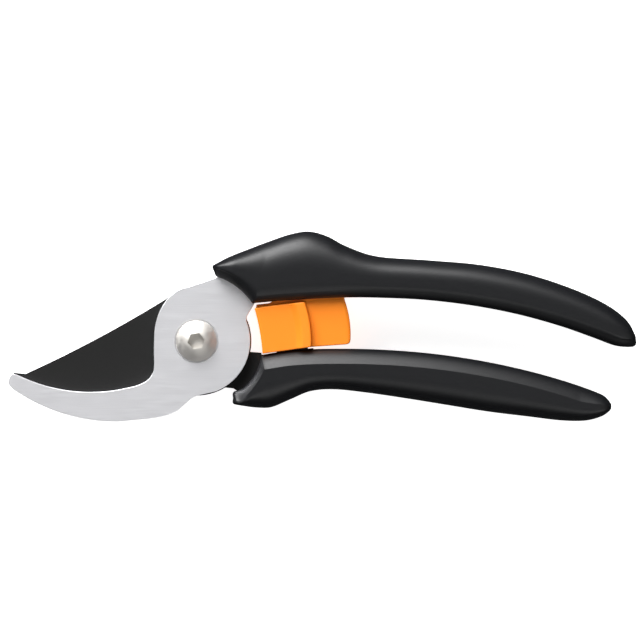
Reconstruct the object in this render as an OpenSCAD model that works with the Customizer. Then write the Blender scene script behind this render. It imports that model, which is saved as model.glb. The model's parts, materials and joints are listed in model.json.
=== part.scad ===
// Bypass pruner, lying flat. Millimetres, +X from the pivot toward the handle ends, +Z up.
// Origin: the pivot axis, on the plane that the handles and the pivot nut rest on.

/* [Handles] */
// Full thickness of both handles, across the flat of the tool
handle_t = 22; // [18:0.5:26]
// Half height of the upper handle's inner wall
upper_wall = 7.5; // [6:0.25:8]
// Half height of the lower handle's inner wall
lower_wall = 5; // [4.5:0.25:7]
// How far the upper handle's face falls toward its crease
upper_crown = 0.6; // [0:0.1:1.2]
// Share of a handle's width that its rounded outer (palm) side takes
palm_share = 0.68; // [0.5:0.02:0.75]
// Radius of the handles' concave front ends about the pivot
front_r = 22.4; // [21:0.1:24]

/* [Blades] */
// Thickness of the counter blade (hook)
counter_t = 3.4; // [2.5:0.1:4.5]
// Thickness of the cutting blade
cutting_t = 3.2; // [2.5:0.1:4.5]
// Running gap between the two blades
blade_gap = 0.1; // [0.05:0.01:0.3]
// Radius of the counter blade's round boss
boss_r = 17.9; // [16:0.1:20]
// Width of the ground bevel on the cutting edge
bevel_w = 5; // [2:0.5:7]

/* [Pivot] */
// Diameter of the shoulder the blades turn on
shoulder_d = 10; // [8:0.5:12]
// Thread diameter below the shoulder
thread_d = 8; // [6:1:10]
// Diameter of the button head
head_d = 13.7; // [12:0.1:16]
// Key size of the hex socket
key_af = 5; // [4:0.5:6]
// Radial clearance of the turning blade on the shoulder
pivot_fit = 0.05; // [0.02:0.01:0.1]

/* [Lock and spring] */
// How far the lock slider travels, away from the pivot
slide_travel = 3; // [2:0.25:3]
// Radius about the pivot of the spring's centre line
spring_r = 32.2; // [31:0.1:33]
// Outside diameter of the opening spring
spring_od = 7.5; // [6:0.1:7.6]
// Wire diameter of the opening spring
wire_d = 1.2; // [0.8:0.1:1.4]
// Coils in the opening spring
coils = 9; // [6:1:12]

/* [Output] */
// Sub-part to draw

/* [Hidden] */
$fn = 96;
zm = handle_t / 2;                    // height of the plane the blades shear in
hole_d = shoulder_d + 2 * pivot_fit;
counter_z = zm + blade_gap / 2;       // underside of the counter blade
cutting_z = zm - blade_gap / 2 - cutting_t;
head_seat_z = counter_z + counter_t - 0.5;
washer_t = 1.2;
washer_z = cutting_z - 0.05 - washer_t;
nut_collar_h = 2;
insert_gap = 0.03;                    // around a tang inside its moulded handle
eps = 0.01;

/* lock and housing, radii about the pivot */
tongue_r = [26.9, 37.1];
tongue_half = 4.9;
tongue_top = 18;                      // degrees
cheek_half = 3.9;                      // inside the housing's two cheeks
cavity_r = 23.3;                       // the cavity's inner side; its outer side is flat
cavity_x = 38.3;
cavity_half = 5.6;
stem_half = 6.5;
seat_hi = 28.6;                       // degrees, spring seat in the upper handle
seat_lo = -16.5;                      // degrees, spring seat in the housing
stem_x = [24.2, 49.2];
stem_top = 17.2;                      // at the spring seat's outer end, rising with the slide
slide_angle = 5;                      // degrees between the slide and +X
rail = [40, 14.9];                    // start of the slider's rails
rail_h = 2.2;
rail_len = 9.2;
rail_out = 1.5;

/* ---- curves ---- */
function polar(r, a) = [r * cos(a), r * sin(a)];
function arc(r, a0, a1, n = 10) = [for (i = [0:n]) polar(r, a0 + (a1 - a0) * i / n)];
// Circle through three points: centre, then an arc from p to s by way of q
function centre3(p, q, s) =
    let (a = q - p, b = s - p, d = 2 * (a.x * b.y - a.y * b.x), aa = a * a, bb = b * b)
    p + [(b.y * aa - a.y * bb) / d, (a.x * bb - b.x * aa) / d];
function turn(a) = a > 180 ? a - 360 : a < -180 ? a + 360 : a;
function arc3(p, q, s, n = 12) =
    let (c = centre3(p, q, s), r = norm(p - c), a0 = atan2(p.y - c.y, p.x - c.x),
        am = turn(atan2(q.y - c.y, q.x - c.x) - a0), a1 = turn(atan2(s.y - c.y, s.x - c.x) - a0),
        sweep = sign(am) == sign(a1) ? a1 : a1 + sign(am) * 360)
    [for (i = [0:n]) c + polar(r, a0 + sweep * i / n)];
// Smooth curve through a few knots, at u from 0 to the number of spans
function spline(k, i, t) =
    let (n = len(k) - 1, b = k[i], c = k[min(n, i + 1)],
        a = i > 0 ? k[i - 1] : 2 * b - c, d = i + 2 <= n ? k[i + 2] : 2 * c - b)
    0.5 * (2 * b + (c - a) * t + (2 * a - 5 * b + 4 * c - d) * t ^ 2
        + (3 * b - a - 3 * c + d) * t ^ 3);
function at(k, u) = let (i = min(floor(u), len(k) - 2)) spline(k, i, u - i);
function through(k, n = 5) =
    concat([for (i = [0:len(k) - 2]) for (j = [0:n - 1]) spline(k, i, j / n)], [k[len(k) - 1]]);

/* ---- handles: sections lofted along the handle ---- */
round_steps = 3;
palm_steps = 7;
span_steps = 3;
front_us = [0, 0.03, 0.08, 0.14, 0.22, 0.32, 0.44, 0.58, 0.72, 0.86, 1];

// One section: inner edge a, crease c, outer edge b, half thickness h. form holds the inner
// wall's half height, the degrees of arc from there to the crease, and the face's fall.
function section(a, c, b, h, form) =
    let (f = b + (c - b) * palm_share, g = c + 0.5 * (f - c),
        k = h / zm, w = form[0] * k, edge = h - form[2] * k,
        top = concat(
            [for (i = [0:round_steps])
                let (t = form[1] * i / round_steps,
                    p = a + (c - a) * (1 - cos(t)) / (1 - cos(form[1])))
                [p.x, p.y, w + (edge - w) * sin(t) / sin(form[1])]],
            [[g.x, g.y, h], [f.x, f.y, h]],
            [for (i = [1:palm_steps])
                let (t = 90 * i / palm_steps, p = f + (b - f) * sin(t) ^ 0.77)
                [p.x, p.y, i == palm_steps ? 0 : h * cos(t) ^ 0.77]]),
        n = len(top))
    concat(top, [for (i = [n - 2:-1:0]) [top[i].x, top[i].y, -top[i].z]]);

module loft(rings, flip) {
    m = len(rings[0]);
    n = len(rings);
    side = [for (i = [0:n - 2]) for (j = [0:m - 1])
        let (a = i * m + j, b = i * m + (j + 1) % m)
        each [[a, b, b + m], [a, b + m, a + m]]];
    ends = [[for (j = [m - 1:-1:0]) j], [for (j = [0:m - 1]) (n - 1) * m + j]];
    faces = concat(side, ends);
    polyhedron([for (r = rings) each r],
        flip ? [for (f = faces) [for (k = [len(f) - 1:-1:0]) f[k]]] : faces, convexity = 8);
}

// Handle from its front-edge, inner-edge and outer-edge knots. front_end holds the radius of the
// front end's corners in plan, the length over which its faces round down, and its height there
// as a share of the full height. The last knots close the rounded tail.
module handle(front, crease, inner, outer, crease_w, form, front_end, flip) {
    fs = 3;                           // outer-edge spans beside the front edge
    n = len(inner) - 1;
    rings = concat(
        [for (u = front_us)
            let (s = 15 * u, a = at(front, u * (len(front) - 1)), b = at(outer, fs * u),
                way = (b - a) / norm(b - a), gap = max(0, front_end[0] - s),
                d = front_end[0] - sqrt(front_end[0] ^ 2 - gap ^ 2),
                h = zm * (front_end[2] + (1 - front_end[2]) * sin(90 * min(1, 2.2 * u)))
                    * sqrt(1 - 0.8 * max(0, 1 - s / front_end[1]) ^ 2))
            section(a + d * way, at(crease, u * (len(crease) - 1)), b - d * way, h, form)],
        [for (i = [1:n * span_steps])
            let (u = i / span_steps, a = at(inner, u), b = at(outer, fs + u),
                tail = max(0, (u - n + 3) / 3), h = zm * sqrt(1 - 0.9 * tail ^ 2.6),
                w = min(crease_w, 0.42 * norm(b - a)),
                c = a + (b - a) * w / norm(b - a))
            section(a, c, b, h, form)]);
    translate([0, 0, zm]) loft(rings, flip);
}

upper_inner = [[18.8, 12.6], [27, 13.3], [35, 13.8], [43, 14.2], [51, 14.5], [61, 14.4],
    [76, 13.7], [92, 11.8], [107, 8.9], [121, 5.05], [132, 1.2], [139.5, -1.55],
    [144.4, -1.95], [146, -1.3]];
upper_outer = [[5.1, 25], [11.1, 28.1], [17.1, 30.5], [24, 33.1], [31.1, 35.5], [37.3, 36.45],
    [43.4, 34.9], [50, 31.5], [60, 28.2], [77, 26.9], [94, 25.4], [110, 22.3], [125, 17.4],
    [136, 12.3], [142.6, 7.4], [145.4, 2.9], [146.2, -0.4]];
lower_inner = [[21.7, -4.6], [30, -3.3], [38, -2.75], [47, -2.6], [58, -2.75], [71, -3.5],
    [84, -4.9], [98, -7.2], [111, -10.1], [122, -13.2], [130, -15.9], [135.2, -18.1],
    [137.5, -20.5], [137.8, -21.5]];
lower_outer = [[11.95, -20.95], [15.6, -21.6], [20, -22.15], [25, -22], [31.5, -19.3],
    [38, -16.7], [46, -16.1], [57, -17.25], [70, -19.15], [83, -21.25], [97, -23.5],
    [110, -25.1], [121, -26.4], [129, -26.5], [134.3, -25.2], [137, -23.4], [137.8, -22.1]];

lower_front = [[12, -16.95], [14.1, -16.25], [16.2, -15.1], [18.9, -11.8], [20.7, -8.2],
    [21.7, -4.6]];
lower_crease = [[12.2, -18.9], [14.6, -19.9], [17.7, -17], [20.2, -13.8], [21.7, -11.3],
    [22.6, -9.25]];

module upper_handle() {
    color("#2b2c2e") difference() {
        handle(arc(front_r, 73.3, 34), arc(front_r + 2.4, 77.4, 37.6),
            upper_inner, upper_outer, 2.3, [upper_wall, 24, upper_crown], [0.5, 1.8, 0.78], true);
        counter_tang(insert_gap);
        lock_pocket();
    }
}

module lower_handle() {
    color("#232426") difference() {
        handle(lower_front, lower_crease, lower_inner, lower_outer, 4.9, [lower_wall, 42, 0],
            [0.9, 1.6, 0.78], false);
        cutting_tang(insert_gap);
        translate([0, 0, zm - tongue_half - insert_gap])
            linear_extrude(2 * (tongue_half + insert_gap)) polygon(housing_foot(insert_gap));
    }
}

// Pocket for the slider's stem and rails; its slanted end is the spring's upper seat
module lock_pocket() {
    x1 = stem_x[1] + slide_travel + 0.4;
    seat = tan(seat_hi);
    roof = stem_top + 0.45;
    translate([0, 0, zm - stem_half - 0.3]) linear_extrude(2 * stem_half + 0.6)
        polygon([[22.9, 8], [22.9, 22.9 * seat], [roof / seat, roof],
            [x1, roof + (x1 - roof / seat) * tan(slide_angle)], [x1, 8]]);
    translate([rail.x, rail.y, zm]) rotate(slide_angle)
        translate([-0.4, -0.25, -stem_half - rail_out - 0.25])
            cube([rail_len + slide_travel + 0.8, rail_h + 0.5, 2 * (stem_half + rail_out + 0.25)]);
}

/* ---- counter blade ---- */
counter_tang_pts = [[19.2, 12.4], [20.6, 15.8], [25, 20.5], [54, 20.5], [56.5, 22.4],
    [54, 25.2], [40, 28.6], [26, 28.6], [14, 25.6], [6.4, 21]];
counter_holes = [[30, 24.6], [45, 23.9]];

module counter_tang(g = 0) {
    translate([0, 0, counter_z - g]) linear_extrude(counter_t + 2 * g) difference() {
        polygon([[16.2 + g, 8], [19.2 + g, 12.4], [20.6 + g, 15.8], [25, 20.5 - g], [54, 20.5 - g],
            [56.5 + g, 22.4], [54, 25.2 + g], [40, 28.6 + g], [26, 28.6 + g], [14, 25.6 + g],
            [6.4, 21 + g], [8, 12]]);
        for (p = counter_holes) translate(p) circle(d = 5 - 2 * g);
    }
}

module counter_blade() {
    color("#c8c9cb") difference() {
        translate([0, 0, counter_z]) linear_extrude(counter_t) difference() {
            polygon(concat(
                arc(boss_r, -70, 22, 30),
                [[16.8, 8.4]], counter_tang_pts,
                through([[6.4, 21], [-1.5, 18.4], [-6.6, 16.6], [-11, 12.1], [-13.6, 5.5], [-14.1, -2.3],
                    [-14.05, -8.4], [-14.7, -11], [-16.6, -13.3], [-19.4, -14.68], [-23, -15.6]], 6),
                arc3([-23, -15.6], [-37, -16.95], [-58.6, -11.7], 20),
                through([[-58.6, -11.7], [-61, -10.9], [-62.1, -12.2], [-62.3, -14.3], [-60.8, -16.1]], 4),
                arc3([-60.8, -16.1], [-44.1, -24.1], [-26, -26.7], 18),
                through([[-26, -26.7], [-13.4, -25.4], [-7.2, -23.6], [-3.9, -21], [-0.6, -18.5],
                    polar(boss_r, -70)])));
            circle(d = hole_d);
            for (p = counter_holes) translate(p) circle(d = 5);
        }
        translate([0, 0, head_seat_z]) cylinder(h = 1, d = head_d + 0.8);
    }
}

/* ---- cutting blade ---- */
edge_pts = [[-60.7, -11.6], [-42, -20.6], [-19.5, -19.8]];
cutting_tang_pts = [[21.5, -3.9], [22.6, -8], [23.2, -12], [39.6, -12], [42, -9], [55, -8.6],
    [57.2, -10.6], [55, -13], [44, -13.9], [34, -15.6], [25, -18.8], [18, -19.4], [12.2, -15.8]];
disc_r = boss_r + 0.3;                // the cutting blade's boss shows a hair past the other's
cutting_holes = [[32, -13.8], [49, -11.2]];

module cutting_tang(g = 0) {
    translate([0, 0, cutting_z - g]) linear_extrude(cutting_t + 2 * g) difference() {
        polygon([[17, -2], [21.5, -3.9 + g], [22.6 + g, -8], [23.2 + g, -12 + g], [39.6, -12 + g],
            [42, -9 + g], [55, -8.6 + g], [57.2 + g, -10.6], [55, -13 - g], [44, -13.9 - g],
            [34, -15.6 - g], [25, -18.8 - g], [18, -19.4 - g], [12.2, -15.8 - g], [10, -15]]);
        for (p = cutting_holes) translate(p) circle(d = (p.x < 40 ? 2.4 : 3) - 2 * g);
    }
}

module cutting_blade() {
    edge_c = centre3(edge_pts[0], edge_pts[1], edge_pts[2]);
    edge_r = norm(edge_pts[0] - edge_c);
    color("#28282a") difference() {
        translate([0, 0, cutting_z]) linear_extrude(cutting_t) difference() {
            polygon(concat(
                arc(disc_r, -125, -58.4, 12),
                [for (i = [len(cutting_tang_pts) - 1:-1:0]) cutting_tang_pts[i]],
                arc(disc_r, -11.5, 97, 24),
                [[-6.3, 16.95]],
                arc3([-10.8, 13.6], [-32.8, 0.95], [-56.9, -10.95], 14),
                [[-59, -10.75], [-61.2, -10.5]],
                arc3(edge_pts[0], edge_pts[1], edge_pts[2], 20)));
            circle(d = hole_d);
            for (p = cutting_holes) translate(p) circle(d = p.x < 40 ? 2.4 : 3);
        }
        intersection() {
            translate([edge_c.x, edge_c.y, cutting_z - 1]) difference() {
                cylinder(h = cutting_t + 1 - 0.1, r = edge_r + 6, $fn = 240);
                translate([0, 0, -eps])
                    cylinder(h = cutting_t + 1 + eps, r1 = edge_r - bevel_w * (1 + 1 / cutting_t),
                        r2 = edge_r, $fn = 240);
            }
            translate([-64, -26, cutting_z - 1]) cube([44.5, 20, cutting_t + 1]);
        }
    }
}

/* ---- pivot ---- */
module pivot_screw() {
    dome_h = 3.9;
    dome_r = ((head_d / 2) ^ 2 + dome_h ^ 2) / (2 * dome_h);
    color("#b9babb") difference() {
        union() {
            translate([0, 0, head_seat_z]) cylinder(h = 0.6, d = head_d);
            intersection() {
                translate([0, 0, head_seat_z + 0.6 + dome_h - dome_r]) sphere(r = dome_r);
                translate([0, 0, head_seat_z + 0.6 - eps]) cylinder(h = dome_h - 0.25, d = head_d);
            }
            translate([0, 0, washer_z + washer_t]) cylinder(h = head_seat_z - washer_z - washer_t + eps,
                d = shoulder_d);
            translate([0, 0, 1.3]) cylinder(h = washer_z + washer_t, d = thread_d);
            translate([0, 0, 0.6]) cylinder(h = 0.7 + eps, d1 = thread_d - 1.4, d2 = thread_d);
        }
        translate([0, 0, head_seat_z + 1.7]) cylinder(h = 5, d = key_af / cos(30), $fn = 6);
    }
}

module pivot_washer() {
    color("#b0b1b2") translate([0, 0, washer_z]) difference() {
        cylinder(h = washer_t, d = 16);
        translate([0, 0, -1]) cylinder(h = 4, d = thread_d + 0.4);
    }
}

module pivot_nut() {
    color("#a8a9aa") difference() {
        union() {
            translate([0, 0, nut_collar_h]) cylinder(h = washer_z - nut_collar_h, d = 13 / cos(30), $fn = 6);
            cylinder(h = nut_collar_h + eps, d = 12.4);
        }
        translate([0, 0, -1]) cylinder(h = 9, d = thread_d);
        translate([0, 0, -1]) cylinder(h = 1.5, d = 9.2);
        translate([0, 0, 0.45]) cylinder(h = 1.55, d = 10.8);
    }
}

module nut_locking_ring() {
    color("#e6e6e2") translate([0, 0, 0.5]) difference() {
        cylinder(h = 1.45, d = 10.8);
        translate([0, 0, -1]) cylinder(h = 4, d = thread_d);
    }
}

/* ---- lock slider ---- */
function slider_outline() = concat(
    arc3([22, -4.2], [21.05, 3.5], [19.3, 10.9], 8),
    arc3([19.3, 10.9], [33, 12.65], [49.2, 13.85], 8),
    arc3([49.2, 13.85], [51.05, 6], [51.2, 0.2], 8),
    [[50.85, -0.75], [49.9, -1.1], [38.4, -1.93]]);

module lock_slider() {
    seat = tan(seat_hi);
    stem_top_x = (stem_top + 0.6) / seat;
    color("#ff9433") translate([0, 0, zm]) difference() {
        union() {
            intersection() {
                translate([0, 0, -10]) linear_extrude(20) polygon(slider_outline());
                rotate([0, 0, -30]) rotate_extrude(angle = 80) polygon(concat(
                    [for (p = slider_profile) p], [for (i = [len(slider_profile) - 1:-1:0])
                        [slider_profile[i].x, -slider_profile[i].y]]));
            }
            translate([0, 0, -stem_half]) linear_extrude(2 * stem_half) polygon([
                [20, 8], [19.9, 12.1], [stem_x[0], stem_x[0] * seat - 0.6], [stem_top_x, stem_top],
                [stem_x[1], stem_top + (stem_x[1] - stem_top_x) * tan(slide_angle)], [stem_x[1], 8]]);
            translate([rail.x, rail.y, -stem_half - rail_out]) rotate(slide_angle)
                cube([rail_len, rail_h, 2 * (stem_half + rail_out)]);
        }
        translate([0, 0, -cavity_half]) linear_extrude(2 * cavity_half)
            polygon(concat(arc(cavity_r, -18, 28), [[18, 24], [cavity_x, 24], [cavity_x, -8]]));
    }
}
// Radius and half height of the slider's outer faces
slider_profile = [[18.5, 7.4], [21.6, 8], [33.2, 8], [35.3, 9.3], [38.1, 9.3], [38.5, 6.6],
    [50.4, 6.6], [52, 5.8]];

// Two dogs on the slider's plates. Slid out, they stand in the notches of the housing.
module lock_catch() {
    color("#b9babb") translate([0, 0, zm]) for (s = [-1, 1]) intersection() {
        difference() {
            cylinder(h = 14, r = tongue_r[0] - 0.4, center = true);
            cylinder(h = 16, r = cavity_r + 0.1, center = true);
        }
        translate([20, 2, s > 0 ? 3.9 : -cavity_half]) cube([8, 3, cavity_half - 3.9]);
    }
}

/* ---- spring housing, fixed in the lower handle ---- */
function housing_foot(g = 0) = [[26 - g, -11.2 - g], [38.9 + g, -11.2 - g], [38.9 + g, -2.35],
    [26 - g, -3]];

module spring_housing() {
    color("#1c1d1f") translate([0, 0, zm]) difference() {
        translate([0, 0, -tongue_half]) linear_extrude(2 * tongue_half) polygon(concat(
            [[26, -11.2], [38.9, -11.2], [38.9, -2.35]], arc(tongue_r[1], -4, tongue_top, 12),
            arc(tongue_r[0], tongue_top, -13.3, 14)));
        // The coil's room between the cheeks: a channel below, open all round higher up
        translate([0, 0, -cheek_half]) linear_extrude(2 * cheek_half) polygon(concat(
            arc(spring_r + 4.05, seat_lo, -2.5, 8), arc(40, -2.5, tongue_top + 4, 8),
            arc(cavity_r, tongue_top + 4, -2.5, 8), arc(spring_r - 4.05, -2.5, seat_lo, 8)));
        for (s = [-1, 1]) intersection() {
            translate([24, 1.6, s > 0 ? 3.75 : -5.75]) cube([6, 3.9, 2]);
            cylinder(h = 14, r = 30, center = true);
        }
    }
}

/* ---- opening spring: a coil bent along an arc about the pivot ---- */
module opening_spring() {
    r = (spring_od - wire_d) / 2;
    end = 1.3;                        // degrees from a seat to the first coil's centre line
    steps = 16 * coils;
    sides = 8;
    a0 = seat_lo + end;
    a1 = seat_hi - end;
    // Closed end coils: the pitch grows from the wire's own width and falls again
    function rise(u) = let (k = 1 / coils, e = 1.05 * wire_d / (spring_r * PI / 180) / (a1 - a0))
        u < k ? e * u / k : u > 1 - k ? 1 - e * (1 - u) / k
        : e + (1 - 2 * e) * (u - k) / (1 - 2 * k);
    rings = [for (i = [0:steps])
        let (u = i / steps, a = a0 + (a1 - a0) * rise(u), t = 360 * coils * u,
            c = spring_r + r * cos(t), out = [cos(a), sin(a), 0], up = [0, 0, 1], fwd = [-sin(a), cos(a), 0],
            n = out * cos(t) + up * sin(t))
        [for (j = [0:sides - 1])
            let (q = 360 * j / sides)
            c * out + r * sin(t) * up + wire_d / 2 * (cos(q) * n + sin(q) * fwd)]];
    color("#a9abad") translate([0, 0, zm]) loft(rings, false);
}

upper_handle();
lower_handle();
counter_blade();
cutting_blade();
pivot_screw();
pivot_washer();
pivot_nut();
nut_locking_ring();
lock_slider();
lock_catch();
spring_housing();
opening_spring();
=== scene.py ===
"""Bypass pruner: two moulded handles, a satin counter blade over a coated cutting blade, a screw
pivot and a sliding lock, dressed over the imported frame."""
import json
import math

import bmesh
import bpy
import numpy as np
from mathutils import Matrix, Vector
from mathutils.bvhtree import BVHTree


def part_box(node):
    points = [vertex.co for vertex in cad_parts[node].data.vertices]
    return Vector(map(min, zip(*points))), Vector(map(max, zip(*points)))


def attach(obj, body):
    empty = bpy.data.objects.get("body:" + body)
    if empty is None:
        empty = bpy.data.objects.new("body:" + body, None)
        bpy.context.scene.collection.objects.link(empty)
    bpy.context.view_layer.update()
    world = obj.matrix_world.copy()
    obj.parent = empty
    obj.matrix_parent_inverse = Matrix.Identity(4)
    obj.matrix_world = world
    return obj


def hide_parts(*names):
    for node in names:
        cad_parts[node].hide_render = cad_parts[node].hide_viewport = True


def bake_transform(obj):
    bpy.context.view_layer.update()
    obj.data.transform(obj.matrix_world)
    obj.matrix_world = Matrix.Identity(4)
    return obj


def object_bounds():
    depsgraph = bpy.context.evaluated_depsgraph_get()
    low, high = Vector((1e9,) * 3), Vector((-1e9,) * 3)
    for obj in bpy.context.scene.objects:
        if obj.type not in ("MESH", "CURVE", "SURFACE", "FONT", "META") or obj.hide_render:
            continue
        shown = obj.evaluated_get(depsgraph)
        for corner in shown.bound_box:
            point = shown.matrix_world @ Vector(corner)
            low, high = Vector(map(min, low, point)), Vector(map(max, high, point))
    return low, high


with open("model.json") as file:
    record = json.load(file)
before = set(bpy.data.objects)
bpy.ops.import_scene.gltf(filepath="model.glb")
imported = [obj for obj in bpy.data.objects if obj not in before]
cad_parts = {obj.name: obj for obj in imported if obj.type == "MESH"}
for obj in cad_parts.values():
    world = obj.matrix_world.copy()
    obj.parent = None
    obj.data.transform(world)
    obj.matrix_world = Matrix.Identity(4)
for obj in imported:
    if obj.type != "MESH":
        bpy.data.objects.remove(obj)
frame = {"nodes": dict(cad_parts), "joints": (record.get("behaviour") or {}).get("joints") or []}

bl_info = {
    "name": "Bypass Pruner",
    "version": (1, 0, 0),
    "blender": (4, 5, 0),
    "location": "View3D > Sidebar > Pruner",
    "description": "Builds a bypass pruner piece by piece on its packed frame",
    "category": "Object",
}

MM = 0.001
WELD = 0.001 * MM                                   # corners closer than this are one
LEVEL = 0.9995                                      # a normal this upright is a flat's
cad_low, cad_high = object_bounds()
PIVOT_Z = frame["joints"][0]["pos_m"][2]            # the plane the blades shear in
HALF_T = (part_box("upper_handle")[1].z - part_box("upper_handle")[0].z) / 2
SPRING_LOW, SPRING_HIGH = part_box("opening_spring")


def srgb(text):
    """Linear RGBA from an sRGB hex value."""
    part = [int(text[i:i + 2], 16) / 255 for i in (1, 3, 5)]
    return (*[c / 12.92 if c <= 0.04045 else ((c + 0.055) / 1.055) ** 2.4 for c in part], 1.0)


# ---- what a user would change ---------------------------------------------------------------

class PrunerSizes(bpy.types.PropertyGroup):
    handle_half: bpy.props.FloatProperty(
        name="Handle half thickness", description="From the middle plane to the handles' flats",
        default=HALF_T, unit="LENGTH")
    palm_share: bpy.props.FloatProperty(
        name="Palm rounding", description="Share of a handle's width that its outer rounding takes",
        default=0.68, min=0.4, max=0.8, subtype="FACTOR")
    edge_break: bpy.props.FloatProperty(
        name="Blade edge break", description="Width of the softened edges of the blades",
        default=0.22 * MM, unit="LENGTH")
    coils: bpy.props.IntProperty(
        name="Coils", description="Coils in the opening spring", default=9, min=4, max=16)
    wire: bpy.props.FloatProperty(
        name="Spring wire", description="Diameter of the spring's wire", default=1.2 * MM,
        unit="LENGTH")
    coil_diameter: bpy.props.FloatProperty(
        name="Coil diameter", description="Outside diameter of the opening spring",
        default=SPRING_HIGH.z - SPRING_LOW.z, unit="LENGTH")


class PrunerColours(bpy.types.PropertyGroup):
    handle: bpy.props.FloatVectorProperty(
        name="Handles", description="Colour of the handles' plastic", subtype="COLOR", size=4,
        default=srgb("#0b0c0f"), min=0, max=1)
    lock: bpy.props.FloatVectorProperty(
        name="Lock", description="Colour of the sliding lock", subtype="COLOR", size=4,
        default=srgb("#f5871f"), min=0, max=1)
    steel: bpy.props.FloatVectorProperty(
        name="Counter blade", description="Colour of the satin steel", subtype="COLOR", size=4,
        default=srgb("#f0f0f3"), min=0, max=1)
    coating: bpy.props.FloatVectorProperty(
        name="Cutting blade coating", description="Colour of the low-friction coating",
        subtype="COLOR", size=4, default=srgb("#0f0f0f"), min=0, max=1)


# ---- curves, in millimetres -----------------------------------------------------------------

def polar(r, a):
    return np.array((r * math.cos(math.radians(a)), r * math.sin(math.radians(a))))


def arc(r, a0, a1, n):
    return [polar(r, a0 + (a1 - a0) * i / n) for i in range(n + 1)]


def at(knots, u):
    """Point at u on a smooth curve through the knots, u from 0 to the number of spans."""
    k = np.array(knots, float)
    i = min(int(u), len(k) - 2)
    t = u - i
    b, c = k[i], k[i + 1]
    a = k[i - 1] if i else 2 * b - c
    d = k[i + 2] if i + 2 < len(k) else 2 * c - b
    return 0.5 * (2 * b + (c - a) * t + (2 * a - 5 * b + 4 * c - d) * t ** 2
                  + (3 * b - a - 3 * c + d) * t ** 3)


# ---- meshes and modifiers -------------------------------------------------------------------

def as_object(name, mesh):
    """Links a mesh or a bmesh to the scene as an object at the origin."""
    if isinstance(mesh, bmesh.types.BMesh):
        bm, mesh = mesh, bpy.data.meshes.new(name)
        bm.to_mesh(mesh)
        bm.free()
    obj = bpy.data.objects.new(name, mesh)
    bpy.context.scene.collection.objects.link(obj)
    return obj


def settle(obj):
    """Turns the evaluated shape into the object's plain mesh, with its modifiers gone."""
    mesh = bpy.data.meshes.new_from_object(
        obj.evaluated_get(bpy.context.evaluated_depsgraph_get()))
    obj.modifiers.clear()
    obj.data = mesh
    return obj


def outward(obj, sharp, flats=False):
    """Faces point outwards and shade smooth, except over edges sharper than the angle, and on
    level faces where flats is set."""
    bm = bmesh.new()
    bm.from_mesh(obj.data)
    bmesh.ops.remove_doubles(bm, verts=bm.verts, dist=WELD)
    bmesh.ops.dissolve_degenerate(bm, dist=WELD, edges=bm.edges)
    bmesh.ops.recalc_face_normals(bm, faces=bm.faces)
    bm.to_mesh(obj.data)
    bm.free()
    obj.data.set_sharp_from_angle(angle=math.radians(sharp))
    for face in obj.data.polygons:
        face.use_smooth = not (flats and abs(face.normal.z) > LEVEL)
    return obj


def prism(name, outline, low, high):
    """Closed solid over an outline, in millimetres, between two heights."""
    bm = bmesh.new()
    rings = [[bm.verts.new((x * MM, y * MM, z * MM)) for x, y in outline] for z in (low, high)]
    bm.faces.new(rings[0][::-1])
    bm.faces.new(rings[1])
    for i in range(len(outline)):
        j = (i + 1) % len(outline)
        bm.faces.new((rings[0][i], rings[0][j], rings[1][j], rings[1][i]))
    bmesh.ops.recalc_face_normals(bm, faces=bm.faces)
    return as_object(name, bm)


def lathe(name, profile, steps=128):
    """Closed solid turned about the pivot axis from (radius, height) pairs in millimetres."""
    bm = bmesh.new()
    rings = []
    for r, z in profile:
        if r < 1e-6:
            rings.append([bm.verts.new((0, 0, z * MM))] * steps)
        else:
            rings.append([bm.verts.new((*(polar(r, 360 * i / steps) * MM), z * MM))
                          for i in range(steps)])
    for low, high in zip(rings, rings[1:] + ([] if profile[0][0] < 1e-6 else rings[:1])):
        for i in range(steps):
            j = (i + 1) % steps
            corner = list(dict.fromkeys((low[i], low[j], high[j], high[i])))
            bm.faces.new(corner)
    bmesh.ops.recalc_face_normals(bm, faces=bm.faces)
    return as_object(name, bm)


def cut(obj, *cutters):
    """Takes the cutters' solids out of an object."""
    for c in cutters:
        m = obj.modifiers.new("Cut", "BOOLEAN")
        m.operation, m.solver, m.object = "DIFFERENCE", "EXACT", c
    settle(obj)
    for c in cutters:
        bpy.data.objects.remove(c)
    return obj


def welded(node):
    """A CAD node's triangles as one joined bmesh; the node itself is left alone."""
    bm = bmesh.new()
    bm.from_mesh(frame["nodes"][node].data)
    bmesh.ops.remove_doubles(bm, verts=bm.verts, dist=WELD)
    return bm


def softened(node, name, width, sharp=30, segments=2):
    """A copy of a CAD node with its edges broken by a small bevel."""
    bm = welded(node)
    bmesh.ops.dissolve_limit(bm, angle_limit=math.radians(0.6), verts=bm.verts, edges=bm.edges)
    obj = as_object(name, bm)
    m = obj.modifiers.new("Edge break", "BEVEL")
    m.width, m.segments, m.limit_method = width, segments, "ANGLE"
    m.angle_limit, m.use_clamp_overlap = math.radians(38), True
    return outward(settle(obj), sharp, flats=True)


def moulded(node, name, grid, passes):
    """A copy of a CAD node with every edge and corner rounded: an even mesh, relaxed."""
    obj = as_object(name, welded(node))
    even = obj.modifiers.new("Even mesh", "REMESH")
    even.mode, even.voxel_size = "VOXEL", grid
    relax = obj.modifiers.new("Relax", "SMOOTH")
    relax.factor, relax.iterations = 0.5, passes
    return outward(settle(obj), 60)


def dress(obj, body, *nodes, slot=None, material=None):
    """Gives a finished piece its material and its place in the frame."""
    if material:
        obj.data.materials.clear()
        obj.data.materials.append(material)
    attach(obj, body)
    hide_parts(*nodes)


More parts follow.
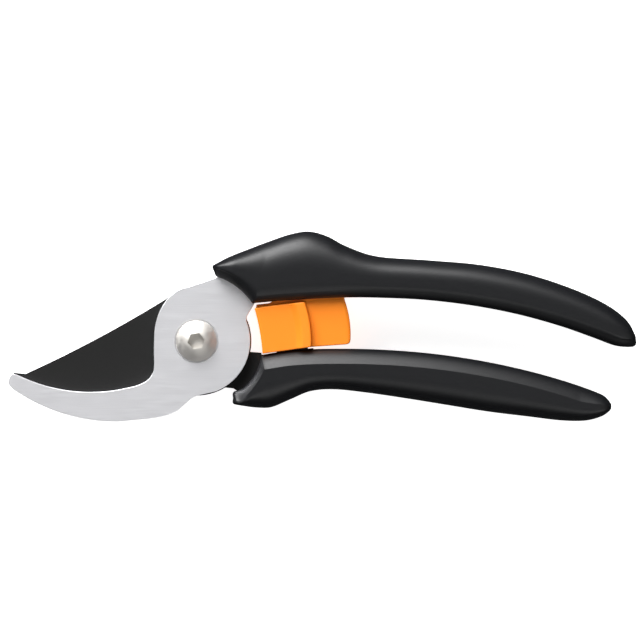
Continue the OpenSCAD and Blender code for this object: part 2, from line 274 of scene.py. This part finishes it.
def add(tree, kind, inputs=None, **settings):
    """Adds a node with its settings; each input takes a link or a value."""
    node = tree.nodes.new(kind)
    for key, value in settings.items():
        setattr(node, key, value)
    for key, value in (inputs or {}).items():
        if isinstance(value, bpy.types.NodeSocket):
            tree.links.new(value, node.inputs[key])
        else:
            node.inputs[key].default_value = value
    return node


def new_tree(name, sockets):
    """A geometry tree with its named inputs and a geometry output."""
    tree = bpy.data.node_groups.new(name, "GeometryNodeTree")
    for label, kind in sockets:
        tree.interface.new_socket(label, in_out="INPUT", socket_type=kind)
    tree.interface.new_socket("Geometry", in_out="OUTPUT", socket_type="NodeSocketGeometry")
    return tree, add(tree, "NodeGroupInput").outputs


def run_tree(obj, tree, values):
    """Runs a geometry tree on an object and keeps the result as its plain mesh."""
    m = obj.modifiers.new("Build", "NODES")
    m.node_group = tree
    for item in tree.interface.items_tree:
        if item.in_out == "INPUT" and item.name in values:
            m[item.identifier] = values[item.name]
    return settle(obj)


# ---- geometry trees -------------------------------------------------------------------------

def finish_tree(tree, geometry, material):
    """Shade smooth, realize, set the material and end the tree."""
    smooth = add(tree, "GeometryNodeSetShadeSmooth", {"Geometry": geometry})
    real = add(tree, "GeometryNodeRealizeInstances", {"Geometry": smooth.outputs[0]})
    paint = add(tree, "GeometryNodeSetMaterial", {"Geometry": real.outputs[0], "Material": material})
    add(tree, "NodeGroupOutput", {"Geometry": paint.outputs[0]})


def handle_tree():
    """Sweeps one section along four guide rows: inner edge, crease, palm start and outer edge.

    The input's vertices are those rows, station by station, with the share of the half thickness
    as Z, and after them the section: X is the place between the rows and Y the height share."""
    tree, given = new_tree("Handle sweep", [
        ("Guides", "NodeSocketGeometry"), ("Stations", "NodeSocketInt"),
        ("Section Points", "NodeSocketInt"), ("Half Thickness", "NodeSocketFloat"),
        ("Middle Height", "NodeSocketFloat"), ("Material", "NodeSocketMaterial")])
    grid = add(tree, "GeometryNodeMeshGrid", {
        "Vertices X": given["Stations"], "Vertices Y": given["Section Points"]})
    index = add(tree, "GeometryNodeInputIndex").outputs[0]

    def calc(operation, a, b=0.0, c=0.0):
        return add(tree, "ShaderNodeMath", {0: a, 1: b, 2: c}, operation=operation).outputs[0]

    def guide(place):
        return add(tree, "GeometryNodeSampleIndex", {
            "Geometry": given["Guides"], "Value": position, "Index": place},
            data_type="FLOAT_VECTOR", domain="POINT").outputs[0]

    position = add(tree, "GeometryNodeInputPosition").outputs[0]
    station = calc("FLOOR", calc("DIVIDE", calc("ADD", index, 0.5), given["Section Points"]))
    around = calc("SUBTRACT", index, calc("MULTIPLY", station, given["Section Points"]))
    shape = add(tree, "ShaderNodeSeparateXYZ", {
        0: guide(calc("ADD", calc("MULTIPLY", given["Stations"], 4.0), around))}).outputs
    row = calc("MINIMUM", calc("FLOOR", shape["X"]), 2.0)
    first = calc("MULTIPLY_ADD", row, given["Stations"], station)
    blend = add(tree, "ShaderNodeMix", {
        "Factor": calc("SUBTRACT", shape["X"], row), 4: guide(first),
        5: guide(calc("ADD", first, given["Stations"]))}, data_type="VECTOR").outputs[1]
    place = add(tree, "ShaderNodeSeparateXYZ", {0: blend}).outputs
    height = calc("MULTIPLY_ADD", calc("MULTIPLY", place["Z"], shape["Y"]),
                  given["Half Thickness"], given["Middle Height"])
    spot = add(tree, "ShaderNodeCombineXYZ", {0: place["X"], 1: place["Y"], 2: height})
    swept = add(tree, "GeometryNodeSetPosition", {"Geometry": grid.outputs[0],
                                                  "Position": spot.outputs[0]})
    weld = add(tree, "GeometryNodeMergeByDistance", {"Geometry": swept.outputs[0],
                                                     "Distance": 2e-6})
    finish_tree(tree, weld.outputs[0], given["Material"])
    return tree


def spring_tree():
    """A coil with closed ends, bent along an arc about the pivot axis."""
    tree, given = new_tree("Opening spring", [
        ("Seed Geometry", "NodeSocketGeometry"), ("Coils", "NodeSocketFloat"),
        ("Wire Diameter", "NodeSocketFloat"), ("Coil Radius", "NodeSocketFloat"),
        ("Arc Radius", "NodeSocketFloat"), ("Start Angle", "NodeSocketFloat"),
        ("End Angle", "NodeSocketFloat"), ("Middle Height", "NodeSocketFloat"),
        ("Material", "NodeSocketMaterial")])

    def calc(operation, a, b=0.0, c=0.0):
        return add(tree, "ShaderNodeMath", {0: a, 1: b, 2: c}, operation=operation).outputs[0]

    spiral = add(tree, "GeometryNodeCurveSpiral", {
        "Resolution": 40, "Rotations": given["Coils"], "Start Radius": given["Coil Radius"],
        "End Radius": given["Coil Radius"], "Height": 1.0})
    spot = add(tree, "ShaderNodeSeparateXYZ", {
        0: add(tree, "GeometryNodeInputPosition").outputs[0]}).outputs
    rise = add(tree, "ShaderNodeFloatCurve", {"Value": spot["Z"]})
    points = rise.mapping.curves[0].points
    for x, y in CLOSED_END, (1 - CLOSED_END[0], 1 - CLOSED_END[1]):
        points.new(x, y)
    for p in points:
        p.handle_type = "VECTOR"
    rise.mapping.update()
    angle = calc("MULTIPLY_ADD", rise.outputs[0], calc(
        "SUBTRACT", given["End Angle"], given["Start Angle"]), given["Start Angle"])
    out = calc("ADD", spot["X"], given["Arc Radius"])
    bent = add(tree, "ShaderNodeCombineXYZ", {
        0: calc("MULTIPLY", out, calc("COSINE", angle)),
        1: calc("MULTIPLY", out, calc("SINE", angle)),
        2: calc("ADD", spot["Y"], given["Middle Height"])})
    path = add(tree, "GeometryNodeSetPosition", {"Geometry": spiral.outputs[0],
                                                 "Position": bent.outputs[0]})
    ring = add(tree, "GeometryNodeCurvePrimitiveCircle", {
        "Resolution": 14, "Radius": calc("MULTIPLY", given["Wire Diameter"], 0.5)})
    wire = add(tree, "GeometryNodeCurveToMesh", {
        "Curve": path.outputs[0], "Profile Curve": ring.outputs[0], "Fill Caps": True})
    finish_tree(tree, wire.outputs[0], given["Material"])
    return tree


CLOSED_END = (1 / 9, 0.052)                          # first coil: share of turns, share of rise


# ---- materials ------------------------------------------------------------------------------

def surface(name):
    """An empty material with object coordinates and its main shader."""
    mat = bpy.data.materials.new(name)
    mat.use_nodes = True
    tree = mat.node_tree
    tree.nodes.clear()
    coords = add(tree, "ShaderNodeTexCoord").outputs["Object"]
    bsdf = add(tree, "ShaderNodeBsdfPrincipled")
    add(tree, "ShaderNodeOutputMaterial", {"Surface": bsdf.outputs[0]})
    return mat, tree, coords, bsdf


def tone(colour, k):
    return (*[min(1.0, c * k) for c in colour[:3]], 1.0)


def plug(tree, bsdf, colour, rough, bump):
    """Links a finish's varying colour, roughness and relief to its shader."""
    tree.links.new(colour.outputs[2], bsdf.inputs["Base Color"])
    tree.links.new(rough.outputs[0], bsdf.inputs["Roughness"])
    tree.links.new(bump.outputs[0], bsdf.inputs["Normal"])


def moulded_plastic(name, colour, grain, depth, gloss, spread=0.05, mottle=0.12, level=0.4):
    """Injection-moulded plastic from a spark-eroded mould: a fine grain of the given size that
    breaks up the shine, and a faint flow mottle a few millimetres across."""
    mat, tree, coords, bsdf = surface(name)
    flow = add(tree, "ShaderNodeTexNoise", {"Vector": coords, "Scale": 1 / (9 * MM),
                                            "Detail": 3.0, "Roughness": 0.55})
    mix = add(tree, "ShaderNodeMix", {"Factor": flow.outputs[0], 6: tone(colour, 1 - mottle),
                                      7: tone(colour, 1 + mottle)}, data_type="RGBA")
    skin = add(tree, "ShaderNodeTexNoise", {"Vector": coords, "Scale": 1 / grain,
                                            "Detail": 2.0, "Roughness": 0.6})
    rough = add(tree, "ShaderNodeMapRange", {"Value": skin.outputs[0], "From Min": 0.3,
                                             "From Max": 0.7, "To Min": gloss - spread,
                                             "To Max": gloss + spread})
    bump = add(tree, "ShaderNodeBump", {"Height": skin.outputs[0], "Strength": 0.5,
                                        "Distance": depth})
    plug(tree, bsdf, mix, rough, bump)
    bsdf.inputs["Specular IOR Level"].default_value = level
    return mat


def satin_steel(name, colour, gloss=0.47):
    """Hardened blade steel, belt-ground along its length: fine straight lines, soft shine. The
    lines are drawn 0.18 mm apart, coarser than the real 0.05 mm, so that they show."""
    mat, tree, coords, bsdf = surface(name)
    lines = add(tree, "ShaderNodeMapping", {"Vector": coords, "Scale": (
        1 / (9 * MM), 1 / (0.18 * MM), 1 / (0.18 * MM))})
    grind = add(tree, "ShaderNodeTexNoise", {"Vector": lines.outputs[0], "Scale": 1.0,
                                             "Detail": 3.0, "Roughness": 0.65})
    mix = add(tree, "ShaderNodeMix", {"Factor": grind.outputs[0], 6: tone(colour, 0.95),
                                      7: tone(colour, 1.05)}, data_type="RGBA")
    rough = add(tree, "ShaderNodeMapRange", {"Value": grind.outputs[0], "From Min": 0.3,
                                             "From Max": 0.7, "To Min": gloss - 0.04,
                                             "To Max": gloss + 0.05})
    bump = add(tree, "ShaderNodeBump", {"Height": grind.outputs[0], "Strength": 0.2,
                                        "Distance": 0.005 * MM})
    plug(tree, bsdf, mix, rough, bump)
    bsdf.inputs["Metallic"].default_value = 1.0
    return mat


def turned_steel(name, colour, pitch, gloss):
    """Turned stainless or plated steel: rings about the pivot axis at the tool's feed, and a
    bright, slightly uneven shine."""
    mat, tree, coords, bsdf = surface(name)
    flat = add(tree, "ShaderNodeVectorMath", {0: coords, 1: (1.0, 1.0, 0.0)},
               operation="MULTIPLY")
    radius = add(tree, "ShaderNodeVectorMath", {0: flat.outputs[0]}, operation="LENGTH")
    rings = add(tree, "ShaderNodeTexNoise", {"W": add(tree, "ShaderNodeMath", {
        0: radius.outputs["Value"], 1: 1 / pitch}, operation="MULTIPLY").outputs[0],
        "Scale": 1.0, "Detail": 2.0}, noise_dimensions="1D")
    cloud = add(tree, "ShaderNodeTexNoise", {"Vector": coords, "Scale": 1 / (2.2 * MM),
                                             "Detail": 3.0})
    mix = add(tree, "ShaderNodeMix", {"Factor": cloud.outputs[0], 6: tone(colour, 0.88),
                                      7: tone(colour, 1.1)}, data_type="RGBA")
    rough = add(tree, "ShaderNodeMapRange", {"Value": cloud.outputs[0], "From Min": 0.35,
                                             "From Max": 0.65, "To Min": gloss - 0.05,
                                             "To Max": gloss + 0.08})
    bump = add(tree, "ShaderNodeBump", {"Height": rings.outputs[0], "Strength": 0.3,
                                        "Distance": 0.01 * MM})
    plug(tree, bsdf, mix, rough, bump)
    bsdf.inputs["Metallic"].default_value = 1.0
    return mat


# ---- the handles' rule ----------------------------------------------------------------------

UPPER = {
    "front": arc(22.4, 73.3, 34, 12), "crease": arc(24.8, 77.4, 37.6, 12),
    "inner": [(18.8, 12.6), (27, 13.3), (35, 13.8), (43, 14.2), (51, 14.5), (61, 14.4),
              (76, 13.7), (92, 11.8), (107, 8.9), (121, 5.05), (132, 1.2), (139.5, -1.55),
              (144.4, -1.95), (146, -1.3)],
    "outer": [(5.1, 25), (11.1, 28.1), (17.1, 30.5), (24, 33.1), (31.1, 35.5), (37.3, 36.45),
              (43.4, 34.9), (50, 31.5), (60, 28.2), (77, 26.9), (94, 25.4), (110, 22.3),
              (125, 17.4), (136, 12.3), (142.6, 7.4), (145.4, 2.9), (146.2, -0.4)],
    "crease_width": 2.3, "wall": 7.5, "round_end": 24, "crown": 0.6,
    "corner": 0.5, "fall": 1.8,
}
LOWER = {
    "front": [(12, -16.95), (14.1, -16.25), (16.2, -15.1), (18.9, -11.8), (20.7, -8.2),
              (21.7, -4.6)],
    "crease": [(12.2, -18.9), (14.6, -19.9), (17.7, -17), (20.2, -13.8), (21.7, -11.3),
               (22.6, -9.25)],
    "inner": [(21.7, -4.6), (30, -3.3), (38, -2.75), (47, -2.6), (58, -2.75), (71, -3.5),
              (84, -4.9), (98, -7.2), (111, -10.1), (122, -13.2), (130, -15.9), (135.2, -18.1),
              (137.5, -20.5), (137.8, -21.5)],
    "outer": [(11.95, -20.95), (15.6, -21.6), (20, -22.15), (25, -22), (31.5, -19.3),
              (38, -16.7), (46, -16.1), (57, -17.25), (70, -19.15), (83, -21.25),
              (97, -23.5), (110, -25.1), (121, -26.4), (129, -26.5), (134.3, -25.2),
              (137, -23.4), (137.8, -22.1)],
    "crease_width": 4.9, "wall": 5.0, "round_end": 42, "crown": 0.0,
    "corner": 0.9, "fall": 1.6,
}
FRONT_U = [0.1 * (i / 16) ** 2 for i in range(16)] + [0.1 + 0.9 * i / 36 for i in range(37)]
SPAN_STEPS = 14


def handle_section(rule, half):
    """(place between the guide rows, height share) round one section, starting mid-wall."""
    wall, crease = rule["wall"] / half, 1 - rule["crown"] / half
    end = math.radians(rule["round_end"])
    top = [(0.0, 0.0), (0.0, wall * 0.5)]
    for i in range(11):
        t = end * i / 10
        top.append(((1 - math.cos(t)) / (1 - math.cos(end)),
                    wall + (crease - wall) * math.sin(t) / math.sin(end)))
    top += [(1 + 0.5 * t, 1 - (1 - crease) * (1 - t) ** 2) for t in np.linspace(0, 1, 7)[1:]]
    top += [(1.75, 1.0), (2.0, 1.0)]
    for i in range(1, 22):
        t = math.pi / 2 * (i / 21) ** 1.3
        top.append((2 + math.sin(t) ** 0.77, max(0, math.cos(t)) ** 0.77))
    top[-1] = (3.0, 0.0)
    return top + [(s, -z) for s, z in top[-2:0:-1]] + [top[0]]


def handle_guides(rule, palm):
    """The four guide rows with their share of the half thickness, flattened at both ends."""
    inner, outer, corner = rule["inner"], rule["outer"], rule["corner"]
    spans = len(inner) - 1
    rows = []
    for u in FRONT_U:
        a, c, b = at(rule["front"], u * (len(rule["front"]) - 1)), at(
            rule["crease"], u * (len(rule["crease"]) - 1)), at(outer, 3 * u)
        gap = max(0, corner - 15 * u)
        inset = (b - a) / math.dist(a, b) * (corner - math.sqrt(corner ** 2 - gap ** 2))
        share = (0.78 + 0.22 * math.sin(math.pi / 2 * min(1, 2.2 * u))) * math.sqrt(
            1 - 0.8 * max(0, 1 - 15 * u / rule["fall"]) ** 2)
        rows.append((a + inset, c, b - inset, share))
    for i in range(1, spans * SPAN_STEPS + 1):
        u = i / SPAN_STEPS
        a, b = at(inner, u), at(outer, 3 + u)
        tail = max(0, (u - spans + 3) / 3)
        width = min(rule["crease_width"], 0.42 * math.dist(a, b))
        rows.append((a, a + (b - a) * width / math.dist(a, b), b,
                     math.sqrt(1 - 0.9 * tail ** 2.6)))
    rows = [(*rows[0][:3], 0.0), *rows, (*rows[-1][:3], 0.0)]
    lines = [[], [], [], []]
    for a, c, b, share in rows:
        for line, p in zip(lines, (a, c, b + (c - b) * palm, b)):
            line.append((p[0] * MM, p[1] * MM, share))
    return lines


def make_handle(name, rule, sizes, material):
    """One handle swept by its geometry tree and welded shut."""
    lines = handle_guides(rule, sizes.palm_share)
    section = handle_section(rule, sizes.handle_half / MM)
    mesh = bpy.data.meshes.new(name)
    mesh.from_pydata([p for line in lines for p in line] + [(s, z, 0) for s, z in section],
                     [], [])
    tree = bpy.data.node_groups.get("Handle sweep") or handle_tree()
    obj = run_tree(as_object(name, mesh), tree, {
        "Stations": len(lines[0]), "Section Points": len(section),
        "Half Thickness": sizes.handle_half, "Middle Height": PIVOT_Z, "Material": material})
    return outward(obj, 11)


# ---- operators: one for each piece or group of like pieces -----------------------------------

class PRUNER_OT_handles(bpy.types.Operator):
    """Sweeps both moulded handles and cuts their pockets"""
    bl_idname = "pruner.handles"
    bl_label = "Handles"

    def execute(self, context):
        sizes, colours = context.scene.pruner_sizes, context.scene.pruner_colours
        # Glass-filled nylon, spark-eroded mould: near-black with a dull grained shine
        skin = moulded_plastic("glass_filled_nylon", colours.handle, 0.42 * MM, 0.03 * MM, 0.44,
                               level=0.4)
        middle, gap = PIVOT_Z / MM, 0.03              # gap round a moulded-in blade or foot
        upper = make_handle("handle_upper", UPPER, sizes, skin)
        slot_low, slot_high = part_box("counter_blade")
        # The lock's pocket: the spring's sloped seat, then a roof along the lock's slide
        seat, slide = math.tan(math.radians(28.6)), math.tan(math.radians(5))
        near, far, roof, pocket_half = 22.9, 52.6, 17.65, 6.8
        pocket = [(near, 8), (near, near * seat), (roof / seat, roof),
                  (far, roof + (far - roof / seat) * slide), (far, 8)]
        cut(upper, prism("cut", pocket, middle - pocket_half, middle + pocket_half),
            prism("cut", [(6, 10), (20, 8), (24, 20), (12, 24), (6.2, 21.1)],
                  slot_low.z / MM - gap, slot_high.z / MM + gap))
        outward(upper, 11)
        dress(upper, "upper_side", "upper_handle", slot="handle_upper", material=skin)
        lower = make_handle("handle_lower", LOWER, sizes, skin)
        slot_low, slot_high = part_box("cutting_blade")
        foot_half = 4.9 + gap
        cut(lower, prism("cut", [(25.97, -11.23), (38.93, -11.23), (38.93, -2), (25.97, -2)],
                         middle - foot_half, middle + foot_half),
            prism("cut", [(9.5, -12), (20, -3), (21.6, -3.9), (22.7, -9), (20, -18), (12.3, -15.8)],
                  slot_low.z / MM - gap, slot_high.z / MM + gap))
        outward(lower, 11)
        dress(lower, "lower_side", "lower_handle", slot="handle_lower", material=skin)
        return {"FINISHED"}


class PRUNER_OT_blades(bpy.types.Operator):
    """Finishes the counter blade and the coated cutting blade"""
    bl_idname = "pruner.blades"
    bl_label = "Blades"

    def execute(self, context):
        sizes, colours = context.scene.pruner_sizes, context.scene.pruner_colours
        counter = softened("counter_blade", "blade_counter", sizes.edge_break, segments=3)
        dress(counter, "upper_side", "counter_blade", slot="blade_steel",
              material=satin_steel("satin_blade_steel", colours.steel))
        cutting = softened("cutting_blade", "blade_cutting", sizes.edge_break * 0.6)
        # PTFE-filled coating baked on steel: flat black, very slightly pebbled
        coat = moulded_plastic("ptfe_coating", colours.coating, 0.2 * MM, 0.006 * MM, 0.55,
                               mottle=0.05, level=0.3)
        dress(cutting, "lower_side", "cutting_blade", slot="coated_steel", material=coat)
        return {"FINISHED"}


class PRUNER_OT_pivot(bpy.types.Operator):
    """Makes the pivot screw, its nut, washer and locking ring"""
    bl_idname = "pruner.pivot"
    bl_label = "Pivot"

    def execute(self, context):
        low, high = (v.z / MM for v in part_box("pivot_screw"))
        radius = (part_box("pivot_screw")[1].x) / MM
        washer_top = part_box("pivot_washer")[1].z / MM
        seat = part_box("counter_blade")[1].z / MM - 0.5        # in its shallow counterbore
        dome, rim, key = 3.9, 0.6, 5.0                # dome, straight rim, hex across flats
        ball = (radius ** 2 + dome ** 2) / (2 * dome)
        crown = [(math.sqrt(max(0, ball ** 2 - (z + ball - dome) ** 2)), seat + rim + z)
                 for z in np.linspace(0, high - seat - rim, 16)]
        head = lathe("screw_head", [
            (0, low), (3.2, low), (4, low + 0.7), (4, washer_top), (5, washer_top), (5, seat),
            (radius - 0.15, seat), (radius, seat + 0.15), *crown[:-1],
            (crown[-1][0] - 0.12, high), (0, high)])
        socket = prism("cut", [polar(key / 2 / math.cos(math.pi / 6), 60 * i + 8) for i in range(6)],
                       seat + 1.7, high + 1)
        cut(head, socket)
        outward(head, 24)
        # Stainless button head, turned and tumbled: bright with faint rings
        dress(head, "upper_side", "pivot_screw", slot="stainless",
              material=turned_steel("turned_stainless", srgb("#d6d3ce"), 0.22 * MM, 0.62))
        # Bright zinc plating: cool grey, a little cloudy
        zinc = turned_steel("zinc_plating", srgb("#b4b7bb"), 0.3 * MM, 0.32)
        dress(softened("pivot_nut", "lock_nut", 0.25 * MM), "upper_side", "pivot_nut",
              slot="zinc_steel", material=zinc)
        dress(softened("pivot_washer", "washer", 0.15 * MM), "upper_side", "pivot_washer",
              slot="zinc_steel", material=zinc)
        # Natural nylon: milky, waxy
        dress(softened("nut_locking_ring", "nylon_ring", 0.1 * MM), "upper_side",
              "nut_locking_ring", slot="nylon", material=moulded_plastic(
                  "natural_nylon", srgb("#e4e3dc"), 0.3 * MM, 0.01 * MM, 0.42))
        return {"FINISHED"}


class PRUNER_OT_lock(bpy.types.Operator):
    """Finishes the sliding lock and the spring housing"""
    bl_idname = "pruner.lock"
    bl_label = "Lock"

    def execute(self, context):
        colours = context.scene.pruner_colours
        # Acetal, moulded in a lightly blasted mould: strong colour, satin shine
        acetal = moulded_plastic("dyed_acetal", colours.lock, 0.3 * MM, 0.008 * MM, 0.48,
                                 mottle=0.04, level=0.3)
        dress(moulded("lock_slider", "slider", 0.2 * MM, 10), "lock", "lock_slider",
              slot="lock_plastic", material=acetal)
        # Pressed stainless dogs: bright edges, seen only when the tool is open
        dress(softened("lock_catch", "catch", 0.08 * MM), "lock", "lock_catch", slot="stainless",
              material=turned_steel("pressed_stainless", srgb("#b8b6b2"), 0.3 * MM, 0.34))
        # Black acetal: smoother and darker than the handles
        dress(softened("spring_housing", "housing", 0.2 * MM), "lower_side", "spring_housing",
              slot="housing_plastic", material=moulded_plastic(
                  "black_acetal", srgb("#151517"), 0.3 * MM, 0.008 * MM, 0.38))
        return {"FINISHED"}


class PRUNER_OT_spring(bpy.types.Operator):
    """Winds the opening spring along its arc about the pivot axis"""
    bl_idname = "pruner.spring"
    bl_label = "Opening spring"

    def execute(self, context):
        sizes = context.scene.pruner_sizes
        low, high, arc_r = -15.2, 27.3, 32.2
        # Drawn music wire, oiled: dark grey with a tight bright line
        wire = turned_steel("music_wire", srgb("#8f9194"), 0.3 * MM, 0.3)
        obj = run_tree(as_object("spring", bpy.data.meshes.new("spring")), spring_tree(), {
            "Coils": float(sizes.coils), "Wire Diameter": sizes.wire,
            "Coil Radius": (sizes.coil_diameter - sizes.wire) / 2, "Arc Radius": arc_r * MM,
            "Start Angle": math.radians(low), "End Angle": math.radians(high),
            "Middle Height": PIVOT_Z, "Material": wire})
        outward(obj, 40)
        obj.data.materials.clear()
        obj.data.materials.append(wire)
        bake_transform(obj)
        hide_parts("opening_spring")
        return {"FINISHED"}


class PRUNER_OT_stage(bpy.types.Operator):
    """Sets the pale floor, the soft light and the camera over the tool"""
    bl_idname = "pruner.stage"
    bl_label = "Stage"

    def execute(self, context):
        scene = context.scene
        # Opal acrylic table top, softly lit from below so that the shadows stay light
        opal, tree, coords, bsdf = surface("opal_acrylic")
        bsdf.inputs["Base Color"].default_value = srgb("#f4f4f4")
        bsdf.inputs["Roughness"].default_value = 0.9
        bsdf.inputs["Emission Color"].default_value = (1, 1, 1, 1)
        bsdf.inputs["Emission Strength"].default_value = 0.85
        bm = bmesh.new()
        bmesh.ops.create_grid(bm, x_segments=1, y_segments=1, size=15)
        floor = as_object("floor", bm)
        floor.data.transform(Matrix.Translation((0, 0, cad_low.z - 0.0002)))
        floor.data.materials.append(opal)
        floor.visible_glossy = False                  # so the tool's sides stay dark
        middle = Vector((41.4 * MM, 7.15 * MM, PIVOT_Z))      # what the camera looks down on
        for name, spot, size, power in (
                ("key", (-0.6, 1.35, 0.72), 1.3, 80), ("fill", (0.5, -1.0, 1.2), 1.2, 8)):
            lamp = bpy.data.lights.new(name, "AREA")
            lamp.size, lamp.energy = size, power
            obj = bpy.data.objects.new(name, lamp)
            obj.location = middle + Vector(spot)
            obj.rotation_euler = (-Vector(spot)).to_track_quat("-Z", "Y").to_euler()
            scene.collection.objects.link(obj)
        # Soft tent: brightest overhead, dark at the floor line, plain white behind the tool
        world = bpy.data.worlds.new("studio")
        world.use_nodes = True
        tree = world.node_tree
        up = add(tree, "ShaderNodeSeparateXYZ", {
            0: add(tree, "ShaderNodeTexCoord").outputs["Generated"]}).outputs["Z"]
        glow = add(tree, "ShaderNodeMapRange", {
            "Value": up, "From Min": 0.0, "From Max": 0.8, "To Min": 0.03, "To Max": 0.22},
            interpolation_type="SMOOTHSTEP")
        backdrop = add(tree, "ShaderNodeMath", {
            0: glow.outputs[0], 1: add(tree, "ShaderNodeLightPath").outputs["Is Camera Ray"]},
            operation="MAXIMUM")
        tree.links.new(backdrop.outputs[0], tree.nodes["Background"].inputs["Strength"])
        tree.nodes["Background"].inputs["Color"].default_value = (1, 1, 1, 1)
        scene.world = world
        scene.view_settings.view_transform = "Standard"
        lens = bpy.data.cameras.new("camera")
        lens.lens, lens.sensor_width = 300, 36
        lens.clip_start, lens.clip_end = 0.1, 40
        camera = bpy.data.objects.new("camera", lens)
        wide = 213.66 * MM                            # what the view takes in at the pivot plane
        camera.location = middle + Vector((0, 0, wide * lens.lens / lens.sensor_width))
        scene.collection.objects.link(camera)
        scene.camera = camera
        return {"FINISHED"}


OPERATORS = (PRUNER_OT_handles, PRUNER_OT_blades, PRUNER_OT_pivot, PRUNER_OT_lock,
             PRUNER_OT_spring, PRUNER_OT_stage)


class PRUNER_PT_panel(bpy.types.Panel):
    """The pruner's sizes, colours and pieces"""
    bl_label = "Bypass Pruner"
    bl_idname = "PRUNER_PT_panel"
    bl_space_type = "VIEW_3D"
    bl_region_type = "UI"
    bl_category = "Pruner"

    def draw(self, context):
        for group in (context.scene.pruner_sizes, context.scene.pruner_colours):
            for key in group.__annotations__:
                self.layout.prop(group, key)
        for operator in OPERATORS:
            self.layout.operator(operator.bl_idname)


CLASSES = (PrunerSizes, PrunerColours, *OPERATORS, PRUNER_PT_panel)


def register():
    for c in CLASSES:
        bpy.utils.register_class(c)
    bpy.types.Scene.pruner_sizes = bpy.props.PointerProperty(type=PrunerSizes)
    bpy.types.Scene.pruner_colours = bpy.props.PointerProperty(type=PrunerColours)


def unregister():
    del bpy.types.Scene.pruner_sizes, bpy.types.Scene.pruner_colours
    for c in reversed(CLASSES):
        bpy.utils.unregister_class(c)


def main():
    register()
    bpy.ops.pruner.handles()
    bpy.ops.pruner.blades()
    bpy.ops.pruner.pivot()
    bpy.ops.pruner.lock()
    bpy.ops.pruner.spring()
    bpy.ops.pruner.stage()


if __name__ == "__main__":
    main()
